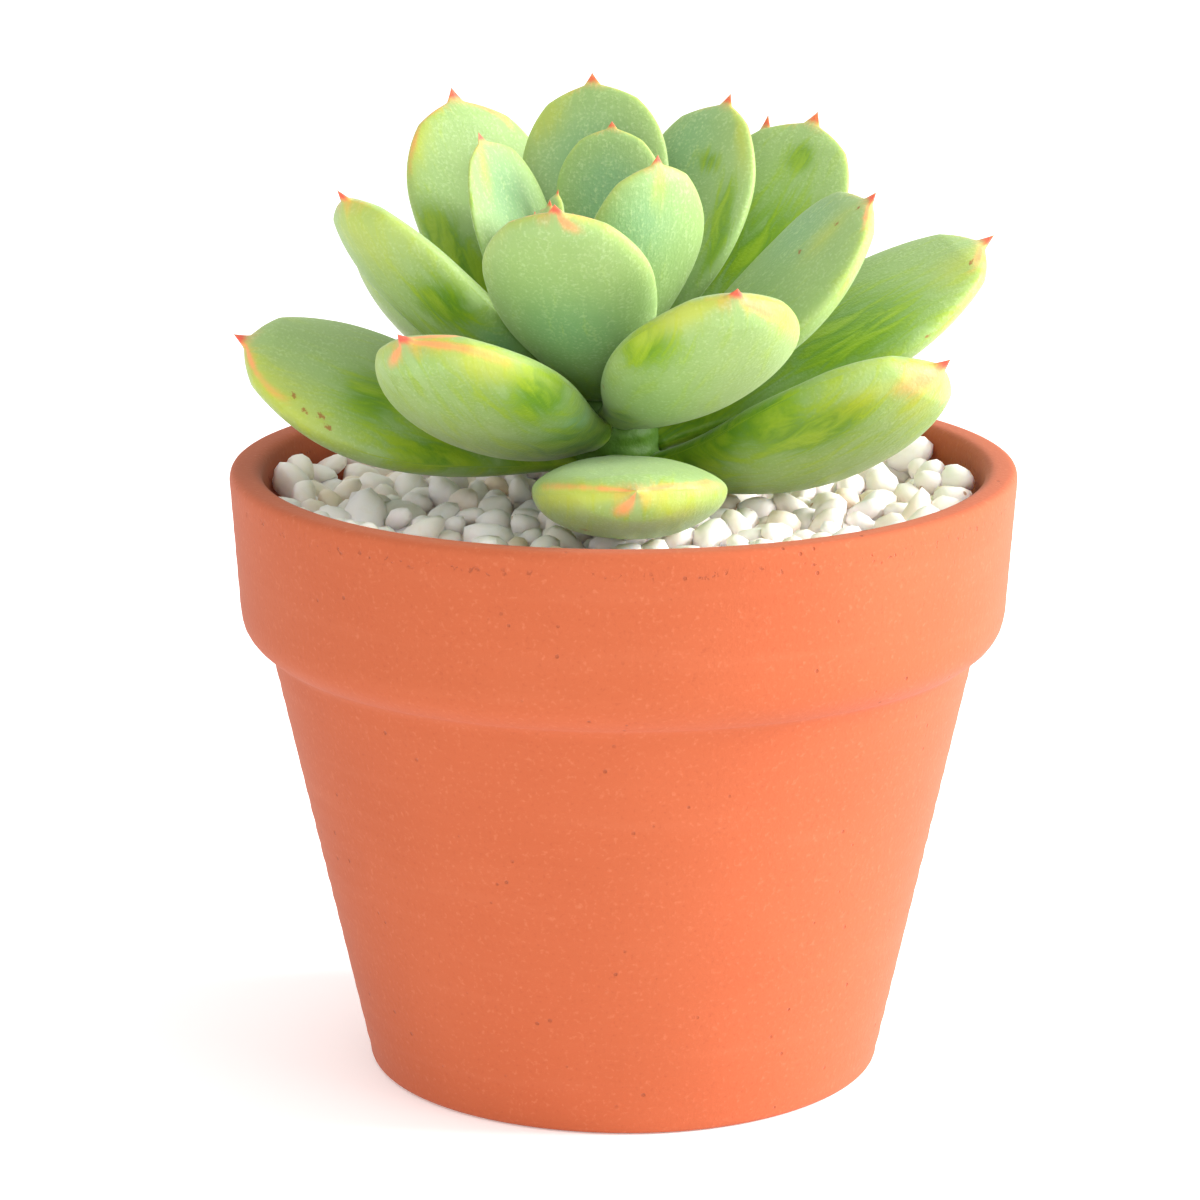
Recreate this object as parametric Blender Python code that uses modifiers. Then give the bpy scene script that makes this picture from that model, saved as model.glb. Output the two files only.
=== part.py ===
"""Potted succulent: a rosette of fleshy leaves growing in a turned clay pot.

Units are metres, +Z is up. The origin is the middle of the pot's foot, on the
surface that the pot stands on, and -Y is the front of the plant. The pot, the
soil, the gravel, the stem and every leaf are closed solids of their own, with
a small gap wherever two of them meet.
"""

import bmesh
import bpy
import numpy as np

MM = 0.001
GAP = 0.3 * MM

# Pot
POT_HEIGHT = 86.0 * MM
RIM_RADIUS = 55.0 * MM
RIM_WALL = 4.5 * MM
RIM_EDGE = 1.2 * MM
BAND_BOTTOM = 66.5 * MM
BAND_TAPER = 1.5 * MM
NECK_HEIGHT = 60.0 * MM
NECK_RADIUS = 49.3 * MM
FOOT_RADIUS = 36.0 * MM
FOOT_EDGE = 1.0 * MM
BODY_WALL = 5.0 * MM
FLOOR_THICKNESS = 6.0 * MM
DRAIN_RADIUS = 6.0 * MM
POT_STEPS = 48

# Fill
SOIL_TOP = 69.0 * MM
GRAVEL_TOP = 80.8 * MM
FILL_STEPS = 36
ROOT_HOLE_RADIUS = 5.6 * MM

# Stem: its radius at a few heights, and how far it leans to the left above the gravel
STEM_HEIGHTS = np.array([59.0, 62.0, 68.0, 74.0, 81.0, 92.0, 98.0, 102.0, 104.0]) * MM
STEM_RADII = np.array([1.2, 2.6, 4.0, 4.4, 4.4, 4.0, 3.2, 2.0, 1.0]) * MM
LEAN_START = 80.0 * MM
LEAN = -1.0 / 6.0

# Leaf shape: where a leaf is widest and thickest, as shares of its length from the
# base, how wide and thick its neck is, as shares of those, how much of its
# thickness is above its middle plane, and how far its margins turn up
WIDEST = 0.61
NECK_WIDTH = 0.30
THICKEST = 0.45
NECK_DEPTH = 0.42
UPPER_SHARE = 0.42
MARGIN_LIFT = 0.05

# The spiral. Leaf 0 is the lowest and oldest, and each next one stands a golden
# angle further round. Turns are degrees about the stem from the front (-Y) towards
# the right (+X). Each law gives a value at a few leaves, with straight lines between.
LEAF_COUNT = 32
FIRST_TURN = 6.0
GOLDEN_ANGLE = 137.5
LAWS = {
    "height": ((0, 17, 22, 27, 31), (86.0, 101.5, 104.5, 106.5, 108.5)),
    "reach": ((0, 16, 20, 24, 27, 31), (4.8, 4.8, 4.4, 3.2, 2.4, 1.0)),
    "rise": ((0, 5, 10, 15, 20, 31), (4.0, 14.0, 31.0, 50.0, 66.0, 86.0)),
    "curl": ((0, 10, 18, 31), (20.0, 24.0, 20.0, 8.0)),
    "length": ((0, 9, 13, 17, 18, 21, 25, 31), (49.0, 50.0, 47.0, 39.0, 25.0, 20.0, 14.0, 8.0)),
    "width": ((0, 8, 13, 17, 18, 22, 24, 31), (26.0, 25.0, 24.0, 20.0, 12.0, 13.5, 8.0, 4.0)),
    "thickness": ((0, 6, 12, 17, 22, 31), (9.2, 9.0, 7.5, 5.5, 4.0, 1.8)),
    "roll": ((0, 31), (0.0, 0.0)),
    "sway": ((0, 31), (0.0, 0.0)),
    "skew": ((0, 31), (0.0, 0.0)),
}
LENGTHS = ("height", "reach", "length", "width", "thickness")

# How single leaves grow apart from the laws, in degrees and millimetres
HABITS = {
    0: dict(turn=-3, height=0.5, rise=-3, curl=-2, thickness=1.5),
    1: dict(turn=-3.5, height=-1, rise=6, roll=8),
    2: dict(turn=-3, rise=3, length=2, width=1, thickness=0.5, roll=26, sway=-4),
    3: dict(turn=13, height=-3.5, curl=10, length=-1, width=-1.5, thickness=1, roll=30, sway=-8, skew=-0.2),
    4: dict(turn=-6, height=-1.5, rise=-8, roll=12),
    5: dict(turn=-5, height=0.5, curl=4, thickness=1.5, roll=-12, sway=-6, skew=0.2),
    6: dict(turn=-11, height=-2, rise=6, curl=-11, length=7, roll=-16, sway=3),
    7: dict(turn=-22.5, rise=-11, curl=6, width=-3.5, thickness=-1.5, roll=-24),
    8: dict(turn=-2.5, height=0.5, rise=-4, width=-1, thickness=0.5, roll=3, sway=-6, skew=0.2),
    9: dict(turn=-31, height=1, rise=7, length=1.5, width=0.5, thickness=-3, roll=-14),
    10: dict(turn=-7, height=-1, rise=7, curl=-12, length=-1, width=-2.5, thickness=0.5, roll=-8, sway=3),
    11: dict(turn=-1.5, rise=-6, curl=6, length=-4, width=0.5, roll=-24, sway=6, skew=0.25),
    12: dict(turn=2, height=-1.5, rise=-4, curl=12, length=4, width=1, sway=-5, skew=-0.1),
    13: dict(turn=-3, height=-1, rise=-5, curl=-10, width=-0.8, thickness=-0.5, sway=1),
    14: dict(turn=11, height=0.5, length=-2, width=-2, thickness=-1, sway=-4, skew=0.3),
    15: dict(
        turn=-26.5, height=-1, rise=11, curl=-10, length=-7.5,
        width=-2.5, thickness=-3.3, roll=4, sway=3, skew=-0.25,
    ),
    16: dict(turn=-21.5, curl=6, length=-6, width=-2, thickness=-1, roll=-10, sway=-1, skew=-0.1),
    17: dict(turn=-4, rise=-6, curl=6, length=2, width=2.5, thickness=-0.5, roll=24, sway=8),
    18: dict(turn=9, height=-2, rise=-8, curl=24, length=2, width=-1, thickness=-0.5, roll=10),
    20: dict(turn=2, height=2.5, curl=-8, length=-6, width=-4, thickness=-2.5, sway=-4),
    21: dict(turn=2, rise=-2, width=-1, thickness=-0.5),
    22: dict(turn=11, height=2.5, rise=-5, curl=10, length=8, width=1.5, thickness=-0.5, roll=-4, sway=8),
    23: dict(height=1, rise=4, curl=8, length=2, width=-2, thickness=-0.5, roll=6),
    24: dict(rise=-3, length=2, width=-1.5, thickness=-0.5, roll=8),
    25: dict(turn=7, height=1, width=-3.5, thickness=-1),
    26: dict(height=-1, rise=-4, curl=-4, width=-4, thickness=-0.5, roll=4),
    27: dict(rise=-4, width=-1.5, thickness=-0.5),
    28: dict(turn=-5, height=-2.5, rise=-2, curl=-4, length=-3, width=-4, thickness=-0.5, roll=6),
    29: dict(turn=2, rise=-4, width=-1.5),
    31: dict(rise=-2, width=-0.5, thickness=-0.3),
}

# A long narrow leaf out of turn, which fills the gap behind leaf 14
EXTRA_LEAF = dict(
    turn=147, height=91.5, reach=4.8, rise=23, curl=42, length=58,
    width=18, thickness=7, roll=12, sway=10, skew=0,
)

# Tiers of the rosette, from outside in: name, first leaf and the mesh's rings and segments
TIERS = (
    ("outer_leaf", 0, 14, 12),
    ("middle_leaf", 8, 14, 12),
    ("inner_leaf", 13, 14, 12),
    ("crown_leaf", 18, 10, 10),
)


def clear_scene():
    """Take every object of the startup scene away."""
    for obj in list(bpy.data.objects):
        bpy.data.objects.remove(obj, do_unlink=True)


def collection(name):
    """A new collection in the scene."""
    made = bpy.data.collections.new(name)
    bpy.context.scene.collection.children.link(made)
    return made


def material(name, color, roughness, subsurface=0.0):
    """A Principled material that isn't metallic."""
    made = bpy.data.materials.new(name)
    made.use_nodes = True
    shader = made.node_tree.nodes["Principled BSDF"]
    shader.inputs["Base Color"].default_value = (*color, 1.0)
    shader.inputs["Roughness"].default_value = roughness
    shader.inputs["Metallic"].default_value = 0.0
    shader.inputs["Subsurface Weight"].default_value = subsurface
    made.diffuse_color = (*color, 1.0)
    return made


def add_object(name, data, finish, group):
    """Put a mesh or a curve in the scene under its name."""
    obj = bpy.data.objects.new(name, data)
    obj.data.materials.append(finish)
    group.objects.link(obj)
    return obj


def arc(center, radius, start, end, count):
    """Points (radius from the axis, height) on an arc, its angles in degrees from +X."""
    turn = np.radians(np.linspace(start, end, count))
    return np.stack([center[0] + radius * np.cos(turn), center[1] + radius * np.sin(turn)], 1)


def turned(name, profile, closed, steps, finish, group):
    """A profile of (radius, height) points, carried once round Z by a Screw modifier."""
    count = len(profile)
    points = [(radius, 0.0, height) for radius, height in profile]
    edges = [(i, i + 1) for i in range(count - 1)] + ([(count - 1, 0)] if closed else [])
    mesh = bpy.data.meshes.new(name)
    mesh.from_pydata(points, edges, [])
    obj = add_object(name, mesh, finish, group)
    screw = obj.modifiers.new("Turn", "SCREW")
    screw.steps = screw.render_steps = steps
    screw.use_merge_vertices = True
    screw.merge_threshold = 0.00001
    screw.use_smooth_shade = True
    return obj


def inner_radius(height):
    """Radius of the pot's inside wall: a cone under the neck, a steeper one in the band."""
    cone_low = FOOT_RADIUS - BODY_WALL
    cone_high = NECK_RADIUS - BODY_WALL
    band_low = RIM_RADIUS - RIM_WALL - BAND_TAPER
    heights = [FLOOR_THICKNESS, NECK_HEIGHT, BAND_BOTTOM + 2.0 * MM, POT_HEIGHT]
    return np.interp(height, heights, [cone_low, cone_high, band_low, RIM_RADIUS - RIM_WALL])


def make_pot(finish, group):
    """One turned solid: rim, band, rounded under-edge, tapering body, foot and drain hole."""
    edge = RIM_EDGE
    inside = RIM_RADIUS - RIM_WALL
    band_low = RIM_RADIUS - BAND_TAPER
    lip = 3.6 * MM
    outer_rim = arc((RIM_RADIUS - edge, POT_HEIGHT - edge), edge, 90, 0, 4)
    under_edge = arc((band_low - lip, BAND_BOTTOM), lip, 0, -68, 5)
    neck = [(NECK_RADIUS + 0.3 * MM, NECK_HEIGHT + 0.9 * MM), (NECK_RADIUS, NECK_HEIGHT - 0.4 * MM)]
    foot = arc((FOOT_RADIUS - FOOT_EDGE, FOOT_EDGE), FOOT_EDGE, 0, -90, 4)
    drain = [(DRAIN_RADIUS, 0.0), (DRAIN_RADIUS, FLOOR_THICKNESS)]
    cove = arc((inner_radius(10.0 * MM) - 4.0 * MM, 10.0 * MM), 4.0 * MM, -90, 0, 4)
    wall = [(inner_radius(z), z) for z in (NECK_HEIGHT, BAND_BOTTOM + 2.0 * MM)]
    inner_rim = arc((inside + edge, POT_HEIGHT - edge), edge, 180, 90, 4)
    profile = np.concatenate([outer_rim, under_edge, neck, foot, drain, cove, wall, inner_rim])
    return turned("pot", profile, True, POT_STEPS, finish, group)


def make_soil(finish, group):
    """Soil that fills the pot's body, with a pocket in its top for the root."""
    low = FLOOR_THICKNESS + GAP
    pocket_floor = STEM_HEIGHTS[0] - 1.0 * MM
    heights = [SOIL_TOP, BAND_BOTTOM + 2.0 * MM, NECK_HEIGHT, 10.0 * MM + GAP]
    side = [(inner_radius(z) - 2.0 * GAP, z) for z in heights]
    cove = [(inner_radius(10.0 * MM) - 2.5 * MM, low + 1.0 * MM), (inner_radius(10.0 * MM) - 5.0 * MM, low)]
    profile = [(0.0, pocket_floor), (ROOT_HOLE_RADIUS, pocket_floor), (ROOT_HOLE_RADIUS, SOIL_TOP)]
    profile += side + cove + [(0.0, low)]
    return turned("soil", profile, False, FILL_STEPS, finish, group)


def make_gravel(finish, group):
    """The top dressing as one bed, open in the middle where the stem comes through."""
    low = SOIL_TOP + GAP
    high = GRAVEL_TOP
    crown = 0.3 * MM
    profile = [
        (ROOT_HOLE_RADIUS, high + crown),
        (30.0 * MM, high + crown),
        (inner_radius(high) - 2.0 * GAP, high),
        (inner_radius(low) - 2.0 * GAP, low),
        (ROOT_HOLE_RADIUS, low),
    ]
    return turned("gravel", profile, True, FILL_STEPS, finish, group)


def axis_at(height):
    """A point of the stem's axis: upright in the soil, leaning to the left above the gravel."""
    return np.array([LEAN * max(height - LEAN_START, 0.0), 0.0, height])


def make_stem(finish, group):
    """The short stem with its root: a tapering round rod along the leaning axis."""
    curve = bpy.data.curves.new("stem_and_root", "CURVE")
    curve.dimensions = "3D"
    curve.bevel_depth = 1.0
    curve.bevel_resolution = 3
    curve.use_fill_caps = True
    spline = curve.splines.new("POLY")
    spline.points.add(len(STEM_HEIGHTS) - 1)
    for point, height, radius in zip(spline.points, STEM_HEIGHTS, STEM_RADII):
        point.co = (*axis_at(height), 1.0)
        point.radius = radius
    return add_object("stem_and_root", curve, finish, group)


def relative_width(along):
    """Half width of a leaf over its greatest, from base (0) to tip (1).

    A sine rises from a narrow neck to the widest place, a rounded shoulder falls
    towards the tip, and a short point stands on the end of it.
    """
    rise = NECK_WIDTH + (1.0 - NECK_WIDTH) * np.sin(np.clip(along / WIDEST, 0, 1) * np.pi / 2) ** 1.5
    inward = np.clip((along - WIDEST) / (0.955 - WIDEST), 0, 1)
    shoulder = (1.0 - inward ** 2.4) ** 0.62
    point = 0.28 * np.clip((1.0 - along) / 0.10, 0, 1) ** 1.15 * np.clip(along / 0.15 - 5.0, 0, 1)
    return np.where(along < WIDEST, rise, np.hypot(shoulder, point))


def relative_thickness(along):
    """Thickness of a leaf over its greatest, from base (0) to tip (1), made as the width is."""
    rise = NECK_DEPTH + (1.0 - NECK_DEPTH) * np.sin(np.clip(along / THICKEST, 0, 1) * np.pi / 2) ** 1.4
    inward = np.clip((along - THICKEST) / (0.96 - THICKEST), 0, 1)
    shoulder = (1.0 - inward ** 2.4) ** 0.56
    point = 0.32 * np.clip((1.0 - along) / 0.10, 0, 1) * np.clip(along / 0.15 - 5.0, 0, 1)
    return np.where(along < THICKEST, rise, np.hypot(shoulder, point))


def midrib(leaf, along):
    """Points of the leaf's middle line, and its left, up and forward directions there.

    The line starts at the stem's side and climbs at the leaf's rise. It curls up
    and sways sideways more and more towards the tip.
    """
    steps = np.linspace(0, 1, 41)
    climb = np.radians(leaf["rise"] + leaf["curl"] * steps ** 1.3)
    sway = np.radians(leaf["sway"]) * steps
    forward = np.stack([np.cos(climb) * np.cos(sway), np.cos(climb) * np.sin(sway), np.sin(climb)], 1)
    walked = np.cumsum((forward[1:] + forward[:-1]) / 2, 0) * leaf["length"] / 40
    line = np.concatenate([np.zeros((1, 3)), walked])
    at = lambda rows: np.stack([np.interp(along, steps, rows[:, k]) for k in range(3)], 1)
    line, forward = at(line), at(forward)
    forward /= np.linalg.norm(forward, axis=1)[:, None]
    bend = np.interp(along, steps, sway)
    flat_left = np.stack([-np.sin(bend), np.cos(bend), np.zeros(len(along))], 1)
    flat_up = np.cross(forward, flat_left)
    turn = np.radians(leaf["turn"])
    out = np.array([np.sin(turn), -np.cos(turn), 0.0])
    axes = np.stack([out, np.cross([0.0, 0.0, 1.0], out), [0.0, 0.0, 1.0]])
    start = axis_at(leaf["height"]) + out * leaf["reach"]
    roll = np.radians(leaf["roll"])
    left = (flat_left * np.cos(roll) - flat_up * np.sin(roll)) @ axes
    up = (flat_left * np.sin(roll) + flat_up * np.cos(roll)) @ axes
    return start + line @ axes, left, up


def make_leaf(name, leaf, rings, segments, finish, group):
    """A sphere whose poles become the leaf's base and tip, reshaped round its midrib.

    Across the leaf the section is two half ellipses, a shallow one above and a
    deep one below, and its margins turn up a little. Skew makes the left shoulder
    fuller than the right one, as a share of the half width.
    """
    form = bmesh.new()
    bmesh.ops.create_uvsphere(form, u_segments=segments, v_segments=rings, radius=1.0)
    ball = np.array([vert.co[:] for vert in form.verts])
    around = np.hypot(ball[:, 0], ball[:, 1])
    pole = around < 1e-4
    level = 1.0 - np.arccos(np.clip(ball[:, 2], -1, 1)) / np.pi
    along = 1.0 - (1.0 - level) ** 1.4
    cosine = np.where(pole, 0.0, ball[:, 0] / np.maximum(around, 1e-6))
    sine = np.where(pole, 0.0, ball[:, 1] / np.maximum(around, 1e-6))
    line, left, up = midrib(leaf, along)
    half = relative_width(along) * leaf["width"] / 2
    depth = relative_thickness(along) * leaf["thickness"]
    above = UPPER_SHARE * np.maximum(sine, 0) - (1.0 - UPPER_SHARE) * np.maximum(-sine, 0)
    lift = above * depth + MARGIN_LIFT * cosine ** 2 * half
    aside = (cosine + leaf["skew"] * along ** 3) * half
    points = line + left * aside[:, None] + up * lift[:, None]
    for vert, point in zip(form.verts, points):
        vert.co = point
    for face in form.faces:
        face.smooth = True
    mesh = bpy.data.meshes.new(name)
    form.to_mesh(mesh)
    form.free()
    return add_object(name, mesh, finish, group)


def leaf_values(step):
    """Turn, size and lean of the leaf at this step of the spiral, in degrees and metres."""
    spiral = (FIRST_TURN + step * GOLDEN_ANGLE + 180.0) % 360.0 - 180.0
    leaf = {name: float(np.interp(step, *law)) for name, law in LAWS.items()}
    leaf["turn"] = spiral
    for name, change in HABITS.get(step, {}).items():
        leaf[name] += change
    return in_metres(leaf)


def in_metres(leaf):
    """The same leaf with its lengths in metres."""
    return {name: value * MM if name in LENGTHS else value for name, value in leaf.items()}


def make_leaves(finish, group):
    """Every leaf of the rosette, named for its tier and numbered from outside in."""
    ends = [first for _, first, _, _ in TIERS[1:]] + [LEAF_COUNT]
    for (tier, first, rings, segments), end in zip(TIERS, ends):
        for step in range(first, end):
            name = f"{tier}_{step - first + 1:02d}"
            make_leaf(name, leaf_values(step), rings, segments, finish, group)
        if tier == "middle_leaf":
            name = f"{tier}_{end - first + 1:02d}"
            make_leaf(name, in_metres(EXTRA_LEAF), rings, segments, finish, group)


def main():
    clear_scene()
    plant = collection("potted_succulent")
    clay = material("terracotta", (0.62, 0.25, 0.12), 0.85)
    earth = material("soil", (0.07, 0.045, 0.03), 0.95)
    stones = material("gravel", (0.80, 0.77, 0.71), 0.6)
    flesh = material("leaf", (0.42, 0.62, 0.28), 0.5, 0.1)
    stalk = material("stem", (0.25, 0.42, 0.14), 0.6)
    make_pot(clay, plant)
    make_soil(earth, plant)
    make_gravel(stones, plant)
    make_stem(stalk, plant)
    make_leaves(flesh, plant)


main()
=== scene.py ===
# %% [markdown]
# # A potted succulent
# A rosette of fleshy, pointed leaves grows in a turned clay pot, with white gravel
# on the soil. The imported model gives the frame: one body, and a closed solid for the
# pot, the soil, the gravel, the stem and each leaf. This lesson keeps those places
# and sizes, and makes the finer surfaces and finishes that stand for them.

# %% Load the frame
import math

import bpy
import numpy as np
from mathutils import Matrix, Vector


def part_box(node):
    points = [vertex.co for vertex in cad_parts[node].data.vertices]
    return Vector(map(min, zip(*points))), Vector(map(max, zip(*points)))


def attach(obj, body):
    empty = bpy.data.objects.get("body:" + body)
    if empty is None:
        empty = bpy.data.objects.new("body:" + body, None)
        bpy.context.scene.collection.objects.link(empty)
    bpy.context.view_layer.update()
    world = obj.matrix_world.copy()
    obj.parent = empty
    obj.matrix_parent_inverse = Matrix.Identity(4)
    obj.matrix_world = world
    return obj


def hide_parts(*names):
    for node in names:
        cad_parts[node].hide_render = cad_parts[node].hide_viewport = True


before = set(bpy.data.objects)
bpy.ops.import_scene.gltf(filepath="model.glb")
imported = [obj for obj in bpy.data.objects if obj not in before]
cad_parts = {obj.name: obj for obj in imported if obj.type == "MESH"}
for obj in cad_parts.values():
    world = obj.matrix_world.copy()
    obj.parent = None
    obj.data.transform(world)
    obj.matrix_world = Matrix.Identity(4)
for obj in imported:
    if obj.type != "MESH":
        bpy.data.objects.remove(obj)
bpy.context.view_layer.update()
BODY = "root"
MM = 0.001

# %% [markdown]
# ## Camera
# The plant is seen from a little above with a long lens, so that the rim of the pot
# opens into a flat ellipse and its sides hardly converge. A long lens far away does
# this, where a short one close up would bulge the pot. Only the place, the tilt and
# the lens are set.

# %% Camera
CAMERA_PLACE = (0.0, -643.9 * MM, 228.2 * MM)
CAMERA_TILT = math.radians(75.88)
CAMERA_PAN = 0.0051
CAMERA_LENS = 141.8

camera = bpy.data.objects.new("camera", bpy.data.cameras.new("camera"))
camera.location = CAMERA_PLACE
camera.rotation_euler = (CAMERA_TILT, 0.0, CAMERA_PAN)
camera.data.lens = CAMERA_LENS
camera.data.clip_start = 0.01
bpy.context.scene.collection.objects.link(camera)
bpy.context.scene.camera = camera
print("camera lens", CAMERA_LENS, "mm")

# %% [markdown]
# ## Colours and node helpers
# Colours are easiest to judge as they look on a screen, and the shader wants them as
# amounts of light. One function turns the first into the second. Three more add a
# node, mix two colours and draw a soft threshold, so that each finish further down
# reads as a short recipe.

# %% Colour and node helpers
def paint(red, green, blue):
    """Screen colour in 0-255 as light: the sRGB curve, (v + 0.055) / 1.055 to the 2.4."""
    screen = np.array([red, green, blue]) / 255.0
    light = np.where(screen <= 0.04045, screen / 12.92, ((screen + 0.055) / 1.055) ** 2.4)
    return (*light.tolist(), 1.0)


def add_node(tree, kind, inputs=None, **settings):
    """A node with its settings, and its inputs set from values or linked from sockets."""
    made = tree.nodes.new(kind)
    for name, value in settings.items():
        setattr(made, name, value)
    for name, value in (inputs or {}).items():
        if isinstance(value, bpy.types.NodeSocket):
            tree.links.new(value, made.inputs[name])
        else:
            made.inputs[name].default_value = value
    return made


def mixed(tree, share, first, second):
    """First colour where share is 0, second where it is 1."""
    made = add_node(tree, "ShaderNodeMix", {"Factor": share}, data_type="RGBA")
    for socket, value in ((made.inputs[6], first), (made.inputs[7], second)):
        if isinstance(value, bpy.types.NodeSocket):
            tree.links.new(value, socket)
        else:
            socket.default_value = value
    return made.outputs[2]


def soft_step(tree, value, low, high, top=1.0):
    """0 below low and top above high, with a smooth S between; low may be above high."""
    made = add_node(
        tree, "ShaderNodeMapRange", {"Value": value, "From Min": low, "From Max": high, "To Max": top}
    )
    made.interpolation_type = "SMOOTHSTEP"
    return made.outputs["Result"]


def calc(tree, operation, *values):
    """One sum or product of sockets and numbers."""
    made = tree.nodes.new("ShaderNodeMath")
    made.operation = operation
    for socket, value in zip(made.inputs, values):
        if isinstance(value, bpy.types.NodeSocket):
            tree.links.new(value, socket)
        else:
            socket.default_value = value
    return made.outputs[0]


def noise(tree, where, per_metre, detail=3.0, roughness=0.55, warp=0.0):
    """Cloudy noise from 0 to 1, with so many clouds per metre."""
    inputs = {"Vector": where, "Scale": per_metre, "Detail": detail}
    inputs.update({"Roughness": roughness, "Distortion": warp})
    return add_node(tree, "ShaderNodeTexNoise", inputs).outputs["Fac"]


def cells(tree, where, per_metre):
    """Distance to the nearest of the points scattered at so many per metre."""
    inputs = {"Vector": where, "Scale": per_metre, "Randomness": 1.0}
    return add_node(tree, "ShaderNodeTexVoronoi", inputs).outputs["Distance"]


def attribute(tree, name):
    """A value that a piece's mesh carries on its points."""
    return add_node(tree, "ShaderNodeAttribute", attribute_name=name).outputs["Fac"]


def new_finish(name):
    """An empty finish: its node tree, its shader and its Object coordinates."""
    made = bpy.data.materials.new(name)
    made.use_nodes = True
    tree = made.node_tree
    shader = tree.nodes["Principled BSDF"]
    where = add_node(tree, "ShaderNodeTexCoord").outputs["Object"]
    return made, tree, shader, where


def bump(tree, shader, height, depth):
    """Relief on the shader: height in 0-1 stands for depth in metres."""
    made = add_node(tree, "ShaderNodeBump", {"Height": height, "Distance": depth, "Strength": 1.0})
    tree.links.new(made.outputs["Normal"], shader.inputs["Normal"])


print("node helpers ready")

# %% [markdown]
# ## Meshes from grids
# Every new piece here is a closed surface worked out as a grid of points: rings along
# its length, and the same number of points round each ring. Closing the two ends on
# single points gives a leaf or a stem, and joining the last ring to the first gives
# the pot. Building the faces as index arrays keeps this fast for any size of grid.

# %% Grid helpers
def ring_faces(rings, segments, first=0, wrap=False):
    """Quads between neighbouring rings; point (i, j) is number first + i * segments + j."""
    i = np.arange(rings if wrap else rings - 1)[:, None]
    j = np.arange(segments)[None, :]
    here, there = i * segments, ((i + 1) % rings) * segments
    across = (j + 1) % segments
    corners = [here + j, here + across, there + across, there + j]
    return first + np.stack([np.broadcast_to(c, (len(i), segments)) for c in corners], -1).reshape(-1, 4)


def closed_faces(rings, segments):
    """Faces of a closed form: point 0, then the rings, then one last point."""
    j = np.arange(segments)
    across = (j + 1) % segments
    last = rings * segments + 1
    start = np.stack([np.zeros_like(j), 1 + across, 1 + j], -1)
    end = np.stack([np.full_like(j, last), last - segments + j, last - segments + across], -1)
    return ring_faces(rings, segments, 1), np.concatenate([start, end])


def volume_of(points, quads, triangles):
    """Signed volume: the sum of the tetrahedra from the origin to each triangle."""
    thirds = np.concatenate([quads[:, [0, 1, 2]], quads[:, [0, 2, 3]], triangles])
    a, b, c = (points[thirds[:, k]] for k in range(3))
    return float(np.einsum("ij,ij->i", a, np.cross(b, c)).sum() / 6.0)


def add_piece(name, points, quads, triangles, finish, nodes=(), marks=None):
    """A smooth mesh object with outward faces, riding on the body and standing for its CAD nodes."""
    triangles = np.zeros((0, 3), int) if triangles is None else triangles
    inside_out = volume_of(points, quads, triangles) < 0.0
    if inside_out:
        quads, triangles = quads[:, ::-1], triangles[:, ::-1]
    mesh = bpy.data.meshes.new(name)
    mesh.from_pydata(points.tolist(), [], quads.tolist() + triangles.tolist())
    mesh.polygons.foreach_set("use_smooth", np.ones(len(mesh.polygons), bool))
    for mark, values in (marks or {}).items():
        carried = mesh.attributes.new(mark, "FLOAT", "POINT")
        carried.data.foreach_set("value", values.astype(np.float32).ravel())
    mesh.materials.append(finish)
    piece = bpy.data.objects.new(name, mesh)
    bpy.context.scene.collection.objects.link(piece)
    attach(piece, BODY)
    if nodes:
        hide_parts(*nodes)
    return piece


print("grid helpers ready")

# %% [markdown]
# ## Fired clay
# Unglazed earthenware is matte and a little dusty. Its colour drifts over the pot,
# and close up it is full of tiny dark pits and pale grains. A flat pattern wrapped
# round a turned form would show a seam, so the finish is noise on the pot's own
# coordinates, at three sizes: clouds, grains and pits.

# %% Finish: terracotta
PIT_RING_HEIGHT = 83.0 * MM


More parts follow.
